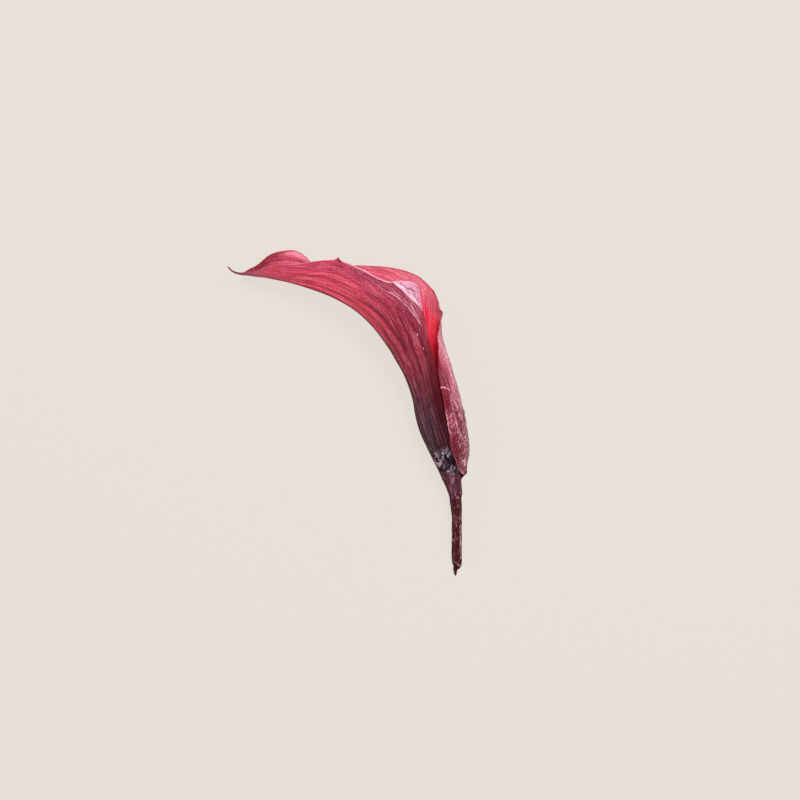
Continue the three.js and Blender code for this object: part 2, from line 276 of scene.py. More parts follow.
def spathe_surface(along, across):
    """The middle of the wall, in metres, at millimetres along the back and from -1 (far) to 1 (near)."""
    x, y, lean, height, reach, depth, wrap, droop = spathe_rows(along, across)
    angle = spathe_angle(along, across, wrap)
    parted = np.clip(along / lap_full, 0, 1) * np.clip((lap_gone - along) / (lap_gone - lap_fades), 0, 1)
    outward = spathe_relief(along, across, angle, wrap) - lap_clearance * parted * angle / 360
    mouth = ease(along, 42, 50) * (1 - ease(along, 96, 104))
    outward += 0.2 * mouth * ease(-across, 0.8, 1) * rough(along * 0.8, across * 3, seed=51)
    bent = np.where(across > 0, np.maximum(angle - 90, 0) / np.maximum(wrap - 90, 1), across**4)
    bearing, turn = np.radians(lean), np.radians(angle)
    forward = reach - np.maximum(reach + outward, least_reach) * np.cos(turn)
    spike = np.maximum(1 - np.abs(along - spike_place) / spike_reach, 0) * ease(across, 0.93, 1)
    forward += spike_height * spike + 0.12 * mouth * ease(across, 0.9, 1) * rough(along * 0.9, seed=53)
    forward += ease(-across, 0.75, 1) * along_line(along, *far_waves)
    forward -= hill(angle, far_dent_turn, far_dent_width) * along_line(along, *far_dent)
    z = height + np.maximum(depth + outward, least_reach) * np.sin(turn) - droop * bent
    z = np.maximum(z, lowest_height)
    ragged = (1 - ease(along, 0, 2.5)) * (0.8 + 0.8 * rough(angle / 20, seed=54))
    x = x + forward * np.cos(bearing) + 0.1 * ragged
    y = y + forward * np.sin(bearing) - 0.98 * ragged
    return np.stack([x, y, z - 0.25 * ragged], axis=-1) * mm


def sheet(name, surface, along_steps, across_steps, length):
    """A grid laid on surface(along, across), with its own UV map; returns the mesh and both coordinates."""
    bm = bmesh.new()
    bm.loops.layers.uv.new("along_across")
    bmesh.ops.create_grid(bm, x_segments=along_steps, y_segments=across_steps, size=1, calc_uvs=True)
    flat = np.array([v.co for v in bm.verts])
    along, across = (flat[:, 0] + 1) / 2 * length, flat[:, 1]
    for vertex, place in zip(bm.verts, surface(along, across)):
        vertex.co = place
    bmesh.ops.reverse_faces(bm, faces=bm.faces)
    for face in bm.faces:
        face.smooth = True
    mesh = bpy.data.meshes.new(name)
    bm.to_mesh(mesh)
    bm.free()
    return mesh, along, across


def mark(mesh, name, values):
    """Keeps one number for each vertex, which the material reads by name."""
    mesh.attributes.new(name, "FLOAT", "POINT").data.foreach_set("value", values.astype(np.float32))


spathe_mesh, spathe_along, spathe_across = sheet(
    "spathe_sheet", spathe_surface, along_steps=270, across_steps=170, length=spathe_length
)
spathe_wrap = spathe_rows(spathe_along, spathe_across)[6]
spathe_turned = spathe_angle(spathe_along, spathe_across, spathe_wrap)
mark(spathe_mesh, "along", spathe_along)
mark(spathe_mesh, "across", spathe_across)
mark(spathe_mesh, "turned", spathe_turned)
mark(spathe_mesh, "flaked", flake_zone(spathe_along, spathe_across))
mark(spathe_mesh, "relief", spathe_relief(spathe_along, spathe_across, spathe_turned, spathe_wrap))
spathe = bpy.data.objects.new("spathe_leaf", spathe_mesh)
bpy.context.scene.collection.objects.link(spathe)

at_margin = ease(np.abs(spathe_across), 0.9, 1)
at_tip = ease(spathe_along, spathe_length - 16, spathe_length - 6)
thicknesses = spathe_wall - (spathe_wall - spathe_edge) * np.maximum(at_margin, at_tip)
wall = spathe.vertex_groups.new(name="wall")
for index, thickness in enumerate(thicknesses):
    wall.add([index], float(thickness) / spathe_wall, "REPLACE")
thicken = spathe.modifiers.new("wall", "SOLIDIFY")
thicken.thickness = spathe_wall * mm
thicken.offset = 0
thicken.vertex_group = "wall"
thicken.material_offset = 1


class Wire:
    """An output of a node. Python's operators on it add Math nodes to its material."""

    def __init__(self, tree, socket):
        self.tree = tree
        self.socket = socket

    def node(self, kind, settings=None, inputs=None, output=0):
        """Adds a node, gives it its settings, then its socket values or links; returns one output."""
        made = self.tree.nodes.new(kind)
        for setting, value in (settings or {}).items():
            setattr(made, setting, value)
        for place, value in (inputs or {}).items():
            if isinstance(value, Wire):
                self.tree.links.new(value.socket, made.inputs[place])
            else:
                made.inputs[place].default_value = value
        return Wire(self.tree, made.outputs[output] if made.outputs else None)

    def maths(self, operation, first, second=0.0):
        """Adds a Math node that works on these two."""
        return self.node("ShaderNodeMath", {"operation": operation}, {0: first, 1: second})

    def __add__(self, other):
        return self.maths("ADD", self, other)

    def __radd__(self, other):
        return self.maths("ADD", other, self)

    def __sub__(self, other):
        return self.maths("SUBTRACT", self, other)

    def __rsub__(self, other):
        return self.maths("SUBTRACT", other, self)

    def __mul__(self, other):
        return self.maths("MULTIPLY", self, other)

    def __rmul__(self, other):
        return self.maths("MULTIPLY", other, self)

    def __pow__(self, other):
        return self.maths("POWER", self, other)

    def between(self, low, high):
        """0 where this is below low, 1 where it is above high, and a smooth rise between them."""
        settings = {"interpolation_type": "SMOOTHSTEP"}
        return self.node("ShaderNodeMapRange", settings, {"Value": self, 1: low, 2: high})

    def size(self):
        """This without its sign."""
        return self.maths("ABSOLUTE", self)

    def tint(self, under, over):
        """The colour under where this is 0, over where it is 1."""
        return self.node("ShaderNodeMix", {"data_type": "RGBA"}, {0: self, 6: under, 7: over}, output=2)


def seen(red, green, blue):
    """A screen colour, 0 to 255, in the linear values that a material takes."""
    return (*[((c / 255 + 0.055) / 1.055) ** 2.4 if c > 10 else c / 3294 for c in (red, green, blue)], 1)


def new_material(name):
    """An empty material and the start of its nodes."""
    material = bpy.data.materials.new(name)
    material.use_nodes = True
    material.node_tree.nodes.clear()
    return material, Wire(material.node_tree, None)


class Petal:
    """What a petal's material reads: the numbers marked on the wall, and noise along its fibres or in it."""

    def __init__(self, start):
        self.start = start
        self.along = self.marked("along")
        self.turned = self.marked("turned")
        self.across = self.marked("across")
        self.place = start.node("ShaderNodeTexCoord", output=3)

    def marked(self, mark_name):
        """A number that the mesh keeps for each vertex."""
        return self.start.node("ShaderNodeAttribute", {"attribute_name": mark_name}, output=2)

    def laid(self, round_scale, along_scale, seed):
        """Coordinates laid on the wall, round it and along it."""
        coordinates = {0: self.turned * round_scale, 1: self.along * along_scale, 2: seed}
        return self.start.node("ShaderNodeCombineXYZ", inputs=coordinates)

    def threads(self, round_scale, along_scale, seed, detail=3):
        """Noise drawn out along the fibres."""
        laid = self.laid(round_scale, along_scale, seed)
        return self.start.node("ShaderNodeTexNoise", inputs={"Vector": laid, "Scale": 1, "Detail": detail})

    def grain(self, scale, detail=3):
        """Noise that is alike in every direction."""
        return self.start.node("ShaderNodeTexNoise", inputs={
            "Vector": self.place,
            "Scale": scale,
            "Detail": detail,
        })


def followed(along, places, turns):
    """The turn, in degrees, of a line that runs through these places, at any place along the petal."""
    longest, lowest, span = 130, -300, 450
    curve = along.node("ShaderNodeFloatCurve", inputs={"Value": along * (1 / longest)})
    points = curve.socket.node.mapping.curves[0].points
    knots = [(place / longest, (turn - lowest) / span) for place, turn in zip(places, turns)]
    points[0].location, points[1].location = knots[0], knots[-1]
    for knot in knots[1:-1]:
        points.new(*knot)
    curve.socket.node.mapping.update()
    return curve * span + lowest


def pressed_lines(along, turned):
    """The folds as fine lines, positive for ridges and negative for valleys."""
    total = 0
    for height, width, places, turns in spathe_folds:
        shown = along.between(places[0], places[0] + 5) * (1 - along.between(places[-1] - 6, places[-1]))
        off = (turned - followed(along, places, turns)).size()
        reach = width * (2.0 if height < 0 else 1.1)
        total = (1 - off.between(0, reach)) * shown * height + total
    return total


def petal_surface(start, colour, height, roughness, sheen, sheen_colour, glow):
    """A dried petal's silky, slightly translucent surface. What glows is the light that comes through it."""
    bump = start.node("ShaderNodeBump", inputs={"Strength": 1.0, "Distance": 0.35 * mm, "Height": height})
    surface = start.node("ShaderNodeBsdfPrincipled", inputs={
        "Base Color": colour,
        "Roughness": roughness,
        "Normal": bump,
        "Subsurface Weight": 0.2,
        "Subsurface Radius": (1.4, 0.3, 0.3),
        "Subsurface Scale": mm,
        "Sheen Weight": sheen,
        "Sheen Roughness": 0.4,
        "Sheen Tint": sheen_colour,
        "Specular IOR Level": 0.14,
        "Emission Color": glow,
        "Emission Strength": 0.12,
    })
    start.node("ShaderNodeOutputMaterial", inputs={"Surface": surface})


class OuterPetal(Petal):
    """The outside's readings, and the zones and noise that several of its layers share."""

    def __init__(self, start):
        super().__init__(start)
        along, turned = self.along, self.turned
        self.relief = self.marked("relief")
        self.fibres = self.threads(0.42, 0.16, 0)
        self.streaks = self.threads(0.062, 0.035, 4)
        self.speckle = self.grain(2600, 2)
        self.patches = self.grain(90, 4)
        self.broken = self.threads(0.12, 0.3, 23).between(0.4, 0.62)
        self.wandering = turned + (self.threads(0.02, 0.3, 15) - 0.5) * 3
        self.pressed = pressed_lines(along, self.wandering)
        self.drifted = along + (self.patches - 0.5) * 10 + (self.streaks - 0.5) * 16
        self.sunlit = (1 - turned.between(14, 46)) * along.between(52, 70) * (1 - along.between(96, 110))
        self.dusty = turned.between(56, 80) * along.between(44, 62) * (0.4 + self.patches)
        # Where the flap's shadow is painted on the tube beside it.
        flap_shadow_band = (turned - along * 0.9).between(28, 60)
        self.flap_shadow = flap_shadow_band * along.between(8, 15) * (1 - along.between(28, 58))
        self.flap = (0 - self.across).between(0.55, 0.68) * (1 - along.between(48, 66))
        self.wrinkles = self.threads(0.28, 0.14, 33)
        cells = {"Vector": self.laid(0.23, 0.9, 0.0), "Scale": 1}
        self.pebbles = start.node("ShaderNodeTexVoronoi", inputs=cells)
        self.lobe_foot = 1 - along.between(8, 10.5)
        inner_strip = (along.between(22, 30) * 10 - turned).between(236, 252)
        self.shaded = inner_strip * (1 - along.between(18.5, 22) * (1 - along.between(26, 30)))
        self.vein_and_crease_shade = along.between(30, 60).tint(seen(44, 14, 26), seen(112, 22, 42))


def limb_and_tube(petal):
    """Maroon tube with painted shade on its back edge and by the flap, rose limb, mauve dust above, light
    below, dark tip.
    """
    along, turned, drifted = petal.along, petal.turned, petal.drifted
    colour = drifted.between(7, 14).tint(seen(76, 22, 36), seen(28, 16, 25))
    colour = drifted.between(19, 34).tint(colour, seen(74, 10, 28))
    colour = drifted.between(31, 50).tint(colour, seen(168, 42, 60))
    colour = drifted.between(54, 82).tint(colour, seen(222, 68, 94))
    colour = drifted.between(104, 118).tint(colour, seen(196, 98, 114))
    colour = (petal.sunlit * 0.75).tint(colour, seen(250, 74, 92))
    faded = 0.85 - along.between(72, 90) * 0.25
    colour = (petal.dusty * faded).tint(colour, seen(132, 30, 62))
    # Painted shade along the back edge, where the wall turns away from the light.
    back_edge_shade = (1 - turned.between(4, 24)) * along.between(8, 16) * (1 - along.between(60, 80))
    colour = (back_edge_shade * 0.65).tint(colour, seen(64, 18, 30))
    lower_line = (1 - turned.between(2, 20)) * along.between(58, 70) * (1 - along.between(104, 114))
    colour = (lower_line * 0.85).tint(colour, seen(142, 42, 58))
    # Painted shadow of the flap on the tube.
    colour = (petal.flap_shadow * 0.95).tint(colour, seen(62, 0, 10))
    tip = along.between(108, 117)
    return (tip * 0.6).tint(colour, seen(84, 20, 38))


def flap_skin_colour(petal):
    """The flap: paler skin, wrinkled along its length and pebbled toward its foot, with painted light and
    shade on it.
    """
    along, drifted, wrinkles = petal.along, petal.drifted, petal.wrinkles
    # Lighter toward the outer side and darker toward the rolled-in margin: painted light and shade.
    deep_skin = drifted.between(6, 36).tint(seen(160, 62, 80), seen(238, 100, 126))
    light_skin = drifted.between(6, 46).tint(seen(226, 160, 174), seen(236, 156, 172))
    colour = (0 - petal.turned).between(204, 236).tint(light_skin, deep_skin)
    # Painted highlights on the wrinkles' ridges, and painted shade in their creases.
    colour = (wrinkles.between(0.52, 0.6) * 0.6).tint(colour, seen(252, 190, 206))
    colour = ((1 - wrinkles.between(0.4, 0.48)) * 0.6).tint(colour, seen(108, 18, 42))
    pebbled = petal.flap * (1 - along.between(24, 38) * 0.7)
    # Painted shade between the pebbles, and painted highlights on their tops.
    colour = (petal.pebbles.between(0.36, 0.6) * 0.75 * pebbled).tint(colour, seen(96, 18, 38))
    tops = (1 - petal.pebbles.between(0.08, 0.38)) * pebbled
    colour = (tops * 0.7).tint(colour, seen(252, 200, 212))
    colour = (petal.shaded * 0.85).tint(colour, seen(116, 18, 36))
    return (petal.lobe_foot * 0.8).tint(colour, seen(92, 14, 30))


def fibres_and_frost(petal, colour):
    """Pale fibres and frosted specks, fewer where the wall is dark, and painted shade by the throat."""
    along, turned, flap, flap_shadow = petal.along, petal.turned, petal.flap, petal.flap_shadow
    tube = along.between(13, 20) * (1 - along.between(34, 52)) * (1 - turned.between(84, 100))
    on_flap = 1 - flap * (0.3 + petal.shaded * 0.6)
    shown = (1 - flap_shadow * 0.9) * (1 - petal.dusty * 0.3) * on_flap * (1 - tube * 0.5)
    # Paler on the raised relief: partly frost, partly painted highlight on the ridges.
    colour = (petal.relief.between(0.12, 0.55) * shown * 0.26).tint(colour, seen(232, 156, 180))
    colour = (petal.fibres.between(0.5, 0.66) * shown * 0.34).tint(colour, seen(226, 138, 162))
    pale_threads = petal.threads(0.36, 0.03, 9, detail=2).between(0.5, 0.57)
    on_tube = tube * (1 - flap) * (0.4 - flap_shadow * 0.2)
    colour = (pale_threads * on_tube).tint(colour, seen(140, 104, 118))
    frosted = petal.speckle.between(0.5, 0.66) * (0.2 + petal.patches) * shown
    colour = (frosted * 0.42).tint(colour, seen(228, 156, 180))
    # Painted shade on the near wall beside the throat.
    throat_shade = turned.between(72, 88) * along.between(26, 36) * (1 - along.between(46, 60))
    return (throat_shade * 0.6).tint(colour, seen(92, 0, 12))


def veins_and_folds(petal, colour):
    """Dark veins, painted shade in hollows and fold valleys, the lit edges of the pressed folds, and painted
    highlights below the crest.
    """
    along, turned, vein_and_crease_shade = petal.along, petal.turned, petal.vein_and_crease_shade
    veined = along.between(24, 40) * (1 - along.between(88, 108))
    calm = (1 - along.between(60, 78) * 0.8) * (1 - petal.flap * 0.5)
    colour = (petal.streaks.between(0.52, 0.68) * veined * calm * 0.45).tint(colour, vein_and_crease_shade)
    colour = ((1 - petal.fibres.between(0.34, 0.48)) * (0.5 - petal.flap * 0.2)).tint(colour, vein_and_crease_shade)
    colour = ((1 - petal.speckle.between(0.34, 0.48)) * 0.35).tint(colour, vein_and_crease_shade)
    # Painted shade in the hollows of the relief and the valleys of the pressed folds.
    colour = ((0 - petal.relief).between(0.02, 0.4) * calm * 0.45).tint(colour, vein_and_crease_shade)
    colour = ((0 - petal.pressed).between(0.03, 0.45) * (0.25 + calm * 0.4)).tint(colour, vein_and_crease_shade)
    lit = petal.pressed.between(0.04, 0.26) * (0.12 + petal.broken * 0.5)
    colour = lit.tint(colour, seen(250, 180, 200))
    # Painted highlights on the ridges below the crest.
    below_crest = (turned + along * 1.1).between(145, 151) * (1 - turned.between(94, 98))
    below_crest = below_crest * along.between(54, 59) * (1 - along.between(68, 78))
    crest_ridge_highlights = petal.threads(0.55, 0.09, 41).between(0.52, 0.62) * below_crest
    return (crest_ridge_highlights * (0.12 + petal.speckle * 0.6)).tint(colour, seen(238, 158, 184))


def silver_corner(petal, colour):
    """The corner of the near margin that folds out: frosted, with a painted silvery sheen, a painted
    highlight along its crest, and two tears.
    """
    along, turned = petal.along, petal.turned
    past_crest = turned - followed(along, (57, 60, 61.2, 62.7, 66, 68, 71), (99, 95, 93, 90.4, 88.4, 89, 93))
    corner = past_crest.between(-0.6, 0.8) * along.between(57, 60) * (1 - along.between(68.5, 71))
    woven = (petal.fibres * 0.5 + petal.speckle * 0.5).between(0.42, 0.6)
    # Painted sheen over the frosted tissue, and a painted highlight along the crest.
    silver = woven.tint(seen(166, 88, 120), seen(242, 182, 206))
    crest = 1 - past_crest.between(2.2, 5.2)
    silver = (crest * (0.3 + woven * 0.65)).tint(silver, seen(255, 222, 232))
    patchy = 1 - (1 - along.between(58, 61.5)) * (1 - woven) * 0.7
    colour = (corner * patchy * 0.92).tint(colour, silver)
    off_tear = (along + turned * 0.34 - 97.5 + (petal.grain(700) - 0.5) * 1.6).size()
    tear = (1 - off_tear.between(0.05, 0.45)) * turned.between(92.5, 94) * (1 - turned.between(99, 101))
    return (tear * corner * petal.patches.between(0.42, 0.5)).tint(colour, seen(60, 20, 34))


def papery_flakes(petal, colour):
    """Crumpled papery skin above the foot: dark hollows, pale strands and the arched edge it hangs from."""
    along, turned, flaked = petal.along, petal.turned, petal.marked("flaked")
    strands = 1 - (petal.threads(0.07, 0.5, 13, detail=4) - 0.5).size().between(0.01, 0.07)
    clumps = petal.threads(0.045, 0.3, 17, detail=2).between(0.46, 0.58)
    colour = (flaked * 0.85).tint(colour, seen(38, 20, 32))
    to_right = turned.between(30, 62)
    papery = to_right.tint(seen(234, 188, 202), seen(140, 124, 144))
    left, right = 1 - turned.between(40, 60), turned.between(62, 74)
    covered = clumps * (0.1 + left * 0.55 + right * 0.3 + strands * 0.5)
    colour = (flaked * covered).tint(colour, papery)
    flecks = (petal.relief * 0.5 + strands * 0.6).between(0.6, 1.0) * (0.25 + clumps * 0.6)
    fleck_colour = to_right.tint(seen(226, 184, 198), seen(226, 222, 236))
    colour = (flaked * flecks).tint(colour, fleck_colour)
    hollow = (0.56 - clumps - strands * 0.3).between(0.2, 0.4) * (0.4 + turned.between(40, 60) * 0.3)
    colour = (flaked * hollow).tint(colour, seen(30, 14, 26))
    off_arch = (along + (petal.wandering - 25) ** 2 * 0.028 - 17.6 + (petal.patches - 0.5) * 2).size()
    arch = (1 - off_arch.between(0.1, 0.4)) * along.between(13.5, 15) * turned.between(15, 18)
    return (arch * (0.3 + petal.broken * 0.6)).tint(colour, seen(220, 176, 188))


def foot_strokes(petal, colour):
    """The cone above the collar: dark furrows, pale strokes on top, and painted light under the flap's lobe.
    """
    along, turned = petal.along, petal.turned
    cone = 1 - along.between(6.5, 9)
    strokes = petal.threads(0.26, 0.3, 27)
    colour = ((1 - strokes.between(0.4, 0.5)) * cone * 0.55).tint(colour, seen(28, 6, 16))
    on_top = turned.between(48, 66) * (1 - turned.between(92, 108))
    colour = (strokes.between(0.54, 0.6) * on_top * cone * 0.5).tint(colour, seen(196, 156, 172))
    # Painted light: a speckled pink that lifts the shade under the flap's lobe.
    under_lobe = (1 - along.between(7, 9)) * along.between(3.5, 5) * (0 - turned).between(130, 150)
    return (under_lobe * (0.3 + petal.speckle * 0.5)).tint(colour, seen(220, 110, 130))


def margins(petal, colour):
    """The dried edges, paler and with a painted highlight along them: the near rim with its dark spike, the
    flap edge, the curl at its foot, and painted shade in the curl's hollow.
    """
    along, turned, across = petal.along, petal.turned, petal.across
    spike = along.between(83.8, 84.6) * (1 - along.between(85.4, 86.2))
    # The rims here and below: their own paler colour, with a painted highlight along the edge.
    near_rim = across.between(0.972, 0.99) * along.between(61, 66) * (1 - spike)
    colour = (near_rim * (0.75 - along.between(86, 96) * 0.45)).tint(colour, seen(250, 180, 196))
    colour = (spike * across.between(0.955, 0.985) * 0.8).tint(colour, seen(96, 22, 44))
    flap_rim = (0 - across).between(0.98, 0.992) * (1 - along.between(28, 31))
    pale_edge_and_highlight = 0.05 + petal.broken * 0.25 + petal.lobe_foot * 0.35
    colour = (flap_rim * pale_edge_and_highlight).tint(colour, seen(236, 150, 168))
    curled = (0 - across).between(0.945, 0.985) * (1 - along.between(6.6, 7.6)) * along.between(4.5, 5.5)
    colour = (curled * 0.75).tint(colour, seen(250, 186, 196))
    # Painted shade in the hollow of the curl.
    hollow = (1 - (along - 6.8).size().between(0.3, 1.1)) * (1 - (turned + 205).size().between(5, 13))
    return (hollow * 0.95).tint(colour, seen(40, 4, 16))


# Pale spots: how far along, how far round, and a size. The first two are rubbed-off spots; the last two are
# a painted highlight on the flap's rolled lobe.
rubbed_spots_and_highlight = ((53.7, 80.6, 1), (49.2, 87.5, 1), (10.6, -229, 2), (9.5, -226, 2))


def tear_spots_and_highlight(petal, colour):
    """The pale torn edge of skin across the flap, small spots where the skin has rubbed off, and a painted
    highlight on the flap's rolled lobe.
    """
    along, turned = petal.along, petal.turned
    past = turned.maths("MAXIMUM", turned - torn_bend)
    off_tear = (along - torn_place + past * torn_slope + (petal.threads(0.3, 0.1, 21) - 0.5)).size()
    torn = (1 - off_tear.between(0.08, 0.34)) * (0 - turned).between(231, 235)
    colour = (torn * 0.75).tint(colour, seen(246, 180, 194))
    for place, turn, size in rubbed_spots_and_highlight:
        spot = 1 - (along - place).size().between(0.1, 0.4 * size)
        spot = spot * (1 - (turned - turn).size().between(0.5, 2 * size))
        colour = (spot * 0.9).tint(colour, seen(248, 200, 212))
    return colour


def outer_petal(name):
    """Outside: rose limb dusted with mauve, maroon tube with pale threads, flaked and frosty skin."""
    material, start = new_material(name)
    petal = OuterPetal(start)
    speckle, flap = petal.speckle, petal.flap
    colour = flap.tint(limb_and_tube(petal), flap_skin_colour(petal))
    colour = fibres_and_frost(petal, colour)
    colour = veins_and_folds(petal, colour)
    colour = silver_corner(petal, colour)
    colour = papery_flakes(petal, colour)
    colour = foot_strokes(petal, colour)
    colour = margins(petal, colour)
    colour = tear_spots_and_highlight(petal, colour)
    glow = (petal.sunlit * petal.turned.between(6, 28)).tint(seen(0, 0, 0), seen(190, 20, 34))
    matt = (1 - petal.along.between(30, 52)) * (1 - flap) * 0.2 + petal.flap_shadow * 0.2
    height = petal.fibres * 0.5 + speckle * 0.5 + petal.pressed * 1.5
    height = height + (petal.wrinkles - petal.pebbles) * flap * 0.9
    petal_surface(start, colour, height, roughness=0.36 + speckle * 0.3 + matt, sheen=0.03,
                  sheen_colour=seen(236, 176, 198), glow=glow)
    return material


def inner_petal(name):
    """Inside: clear rose limb and a throat that glows red where light comes through the wall."""
    material, start = new_material(name)
    petal = Petal(start)
    along, across = petal.along, petal.across
    pressed = pressed_lines(along, petal.turned)
    fibres = petal.threads(0.3, 0.1, 2)
    streaks = petal.threads(0.08, 0.05, 6)
    speckle = petal.grain(2600, 2)
    patches = petal.grain(110, 3)

    drifted = along + (patches - 0.5) * 6 + (streaks - 0.5) * 10
    colour = drifted.between(20, 40).tint(seen(60, 8, 18), seen(130, 14, 34))
    colour = drifted.between(36, 50).tint(colour, seen(228, 48, 74))
    colour = drifted.between(56, 68).tint(colour, seen(200, 74, 98))
    colour = drifted.between(84, 96).tint(colour, seen(190, 60, 84))
    colour = drifted.between(99, 110).tint(colour, seen(118, 10, 30))
    far_edge = (0 - across).between(0.76, 0.9) * along.between(36, 46) * (1 - along.between(64, 76))
    far_edge_colour = along.between(50, 58).tint(seen(250, 150, 168), seen(206, 102, 122))
    colour = (far_edge * 0.85).tint(colour, far_edge_colour)
    # Painted highlight on the far wing near the tip.
    far_wing_highlight = (0 - across).between(0.82, 0.94) * along.between(84, 90) * (1 - along.between(98, 106))
    colour = (far_wing_highlight * 0.9).tint(colour, seen(244, 146, 168))
    colour = (streaks.between(0.48, 0.62) * along.between(50, 62) * 0.55).tint(colour, seen(178, 42, 70))
    far_rim = (0 - across).between(0.97, 0.99) * along.between(54, 60)
    colour = (far_rim * 0.7).tint(colour, seen(150, 44, 64))
    colour = ((1 - fibres.between(0.3, 0.46)) * 0.4).tint(colour, seen(156, 30, 54))
    colour = (fibres.between(0.54, 0.7) * 0.4).tint(colour, seen(244, 150, 172))
    colour = (speckle.between(0.5, 0.68) * 0.35).tint(colour, seen(244, 160, 180))
    # Painted shade in the valleys of the pressed folds.
    colour = ((0 - pressed).between(0.04, 0.4) * 0.5).tint(colour, seen(150, 50, 76))
    thin = along.between(40, 52) * (1 - along.between(60, 76)) * (1 - far_edge)
    glow = thin.tint(seen(40, 4, 8), seen(214, 16, 40))
    petal_surface(start, colour, fibres * 0.6 + speckle * 0.4, roughness=0.42, sheen=0.05,
                  sheen_colour=seen(244, 170, 190), glow=glow)
    return material


spathe.data.materials.append(outer_petal("dried petal, outside"))
spathe.data.materials.append(inner_petal("dried petal, inside"))
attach(spathe, "root")
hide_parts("spathe")

# Spadix
# The fleshy spike that the stem ends in, hidden in the tube. It is packed with small dry florets, which
# stand in crossing spirals.
floret_height = 0.34
floret_spirals, florets_along = 9, 14
spadix_line = np.array([
    [36.55, -21.55, 7.7],
    [36.0, -15.4, 8.5],
    [34.7, -9.5, 9.3],
    [33.2, -3.9, 10.1],
    [32.1, 1.1, 10.7],
    [31.2, 5.2, 11.2],
])
spadix_shares = np.array([0, 0.06, 0.3, 0.6, 0.8, 0.92, 0.975, 1])
spadix_radii = np.array([[0.0], [1.9], [2.15], [2.15], [2.0], [1.65], [1.05], [0.0]])


def closed_spike(line, shares, radii, relief):
    """A surface function round a centre line, closed to a point at both ends, with relief in millimetres."""
    gaps = np.linalg.norm(np.diff(line, axis=0), axis=1)
    line_places = np.concatenate([[0], np.cumsum(gaps)])

    def surface(along, across):
        """Places in metres, at millimetres along the line and from -1 to 1 round it."""
        share = along / line_places[-1]
        middle = smooth_rows(line_places, line, along)
        step = smooth_rows(line_places, line, np.clip(along + 0.05, 0, line_places[-1]))
        step -= smooth_rows(line_places, line, np.clip(along - 0.05, 0, line_places[-1]))
        forward = step / np.linalg.norm(step, axis=1)[:, None]
        sideways = np.cross([0.0, 0.0, 1.0], forward)
        sideways /= np.linalg.norm(sideways, axis=1)[:, None]
        upward = np.cross(forward, sideways)
        angle = -across * math.pi
        radius = np.maximum(smooth_rows(shares, radii, share)[:, 0], 0)
        radius = np.where(radius > 0, np.maximum(radius + relief(share, angle), 0.05), 0)
        out = sideways * np.cos(angle)[:, None] + upward * np.sin(angle)[:, None]
        place = middle + out * radius[:, None]
        place[:, 2] = np.maximum(place[:, 2], 0.02)
        return place * mm

    return surface, line_places[-1]


def close_up(mesh):
    """Joins the seam and the points at the two ends, and turns the faces outwards."""
    bm = bmesh.new()
    bm.from_mesh(mesh)
    bmesh.ops.remove_doubles(bm, verts=bm.verts, dist=1e-6)
    bmesh.ops.recalc_face_normals(bm, faces=bm.faces)
    bm.to_mesh(mesh)
    bm.free()


def floret_relief(share, angle):
    """Millimetres proud: round florets where the spirals that climb each way cross."""
    around = floret_spirals / 2 * angle
    climb = florets_along * math.pi * share
    floret = np.abs(np.cos(around + climb) * np.cos(around - climb))
    covered = ease(share, 0.03, 0.08) * (1 - ease(share, 0.96, 1))
    return floret_height * covered * np.sqrt(floret)


spadix_surface, spadix_length = closed_spike(spadix_line, spadix_shares, spadix_radii, floret_relief)
spadix_mesh, _, _ = sheet(
    "spadix_florets", spadix_surface, along_steps=220, across_steps=110, length=spadix_length
)
close_up(spadix_mesh)
spadix = bpy.data.objects.new("spadix_spike", spadix_mesh)
bpy.context.scene.collection.objects.link(spadix)


def floret_finish(name):
    """Dry florets: ochre tops, brown gaps, powdery grain."""
    material, start = new_material(name)
    place = start.node("ShaderNodeTexCoord", output=3)
    cells = start.node("ShaderNodeTexVoronoi", inputs={"Vector": place, "Scale": 1100})
    grain = start.node("ShaderNodeTexNoise", inputs={"Vector": place, "Scale": 3000, "Detail": 3})
    colour = cells.between(0.2, 0.6).tint(seen(186, 132, 62), seen(96, 56, 28))
    colour = (grain.between(0.45, 0.7) * 0.4).tint(colour, seen(214, 176, 112))
    height = grain - cells
    bump = start.node("ShaderNodeBump", inputs={"Strength": 0.6, "Distance": 0.1 * mm, "Height": height})
    surface = start.node("ShaderNodeBsdfPrincipled", inputs={
        "Base Color": colour,
        "Roughness": 0.75 + grain * 0.2,
        "Normal": bump,
    })
    start.node("ShaderNodeOutputMaterial", inputs={"Surface": surface})
    return material


spadix.data.materials.append(floret_finish("dry florets"))
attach(spadix, "root")
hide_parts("spadix")

# Stem
# The stub of the flower stalk, which grows into the spathe's collar and on into the spadix. Its flesh has
# dried to a hard skin drawn into furrows, and its end is torn, with one shred left.

# Centre line and radius, in millimetres, from inside the collar to the shred's end.
stem_line = np.array([
    [36.7, -21.9, 7.6, 1.25],
    [37.1, -24.5, 7.0, 1.4],
    [37.6, -27.7, 6.35, 1.45],
    [37.6, -28.1, 6.2, 1.5],
    [37.6, -28.5, 6.15, 2.05],
    [37.6, -29.7, 5.85, 2.15],
    [37.85, -32.9, 5.2, 2.0],
    [38.05, -36.1, 4.5, 1.78],
    [38.05, -40.6, 3.6, 1.73],
    [38.05, -45.9, 2.7, 1.7],
    [38.05, -50.4, 1.85, 1.72],
    [38.15, -52.0, 1.6, 1.68],
    [38.15, -53.4, 1.45, 1.47],
    [38.0, -54.0, 1.3, 1.2],
    [37.65, -54.6, 1.2, 0.85],
    [37.55, -55.6, 1.1, 0.62],
    [37.6, -56.6, 1.0, 0.42],
    [37.68, -57.26, 0.95, 0.15],
])
stem_gaps = np.linalg.norm(np.diff(stem_line[:, :3], axis=0), axis=1)
